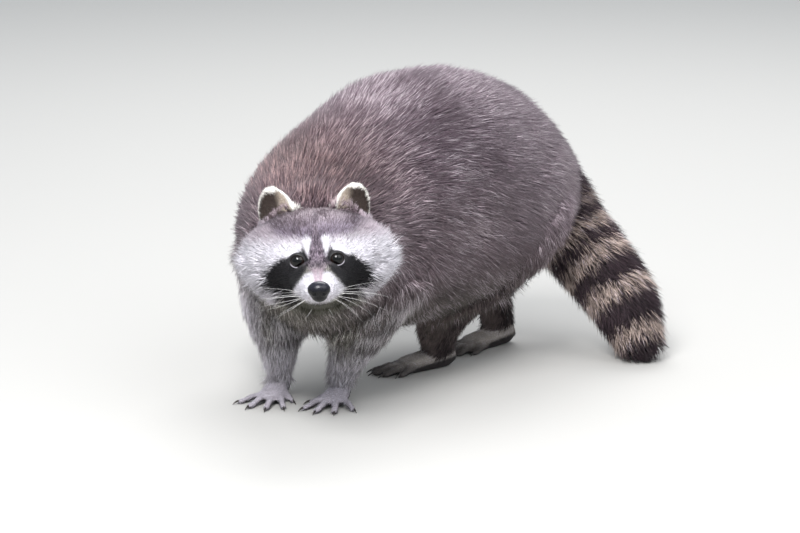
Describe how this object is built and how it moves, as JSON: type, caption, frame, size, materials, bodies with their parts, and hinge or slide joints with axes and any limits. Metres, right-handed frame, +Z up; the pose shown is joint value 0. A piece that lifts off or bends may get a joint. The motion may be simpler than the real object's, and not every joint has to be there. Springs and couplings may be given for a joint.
{
  "type": "raccoon",
  "caption": "Still life-size raccoon standing on all its feet, head turned to its left, with a dark face mask, a grizzled coat and a thick ringed tail that rests on the floor",
  "frame": {"origin": "on the floor, under the middle of the box round the whole animal", "axes": "+Z up, the animal faces -Y, +X is the animal's own left; the body lies along Y"},
  "size_m": [0.288, 0.5368, 0.312],
  "materials": {
    "body_coat": "grizzled grey-brown guard hair, matte",
    "face_coat": "short white, grey and black fur in a mask, matte",
    "ear_coat": "short white-rimmed fur, dark inside, matte",
    "leg_coat": "grey fur with light tips, matte",
    "thigh_coat": "dark brown-black fur, matte",
    "foot_coat": "very short silver-grey fur, matte",
    "tail_coat": "long fur in dark and light rings, matte",
    "eye": "wet, very dark brown",
    "nose": "moist black skin, finely pebbled",
    "claw": "dark horn, slightly polished"
  },
  "bodies": {
    "root": {"trunk": "body_coat", "neck": "body_coat", "ear_right": "ear_coat", "eye_right": "eye", "ear_left": "ear_coat", "eye_left": "eye", "head": "face_coat", "lower_jaw": "face_coat", "nose": "nose", "fore_leg_right": "leg_coat", "fore_leg_left": "leg_coat", "thigh_left": "thigh_coat", "shank_left": "thigh_coat", "thigh_right": "thigh_coat", "shank_right": "thigh_coat", "fore_claw_right_1": "claw", "fore_claw_right_2": "claw", "fore_claw_right_3": "claw", "fore_claw_right_4": "claw", "fore_claw_right_5": "claw", "fore_foot_right": "foot_coat", "fore_claw_left_1": "claw", "fore_claw_left_2": "claw", "fore_claw_left_3": "claw", "fore_claw_left_4": "claw", "fore_claw_left_5": "claw", "fore_foot_left": "foot_coat", "hind_claw_left_1": "claw", "hind_claw_left_2": "claw", "hind_claw_left_3": "claw", "hind_claw_left_4": "claw", "hind_claw_left_5": "claw", "hind_foot_left": "foot_coat", "hind_claw_right_1": "claw", "hind_claw_right_2": "claw", "hind_claw_right_3": "claw", "hind_claw_right_4": "claw", "hind_claw_right_5": "claw", "hind_foot_right": "foot_coat", "tail": "tail_coat"}
  },
  "joints": []
}
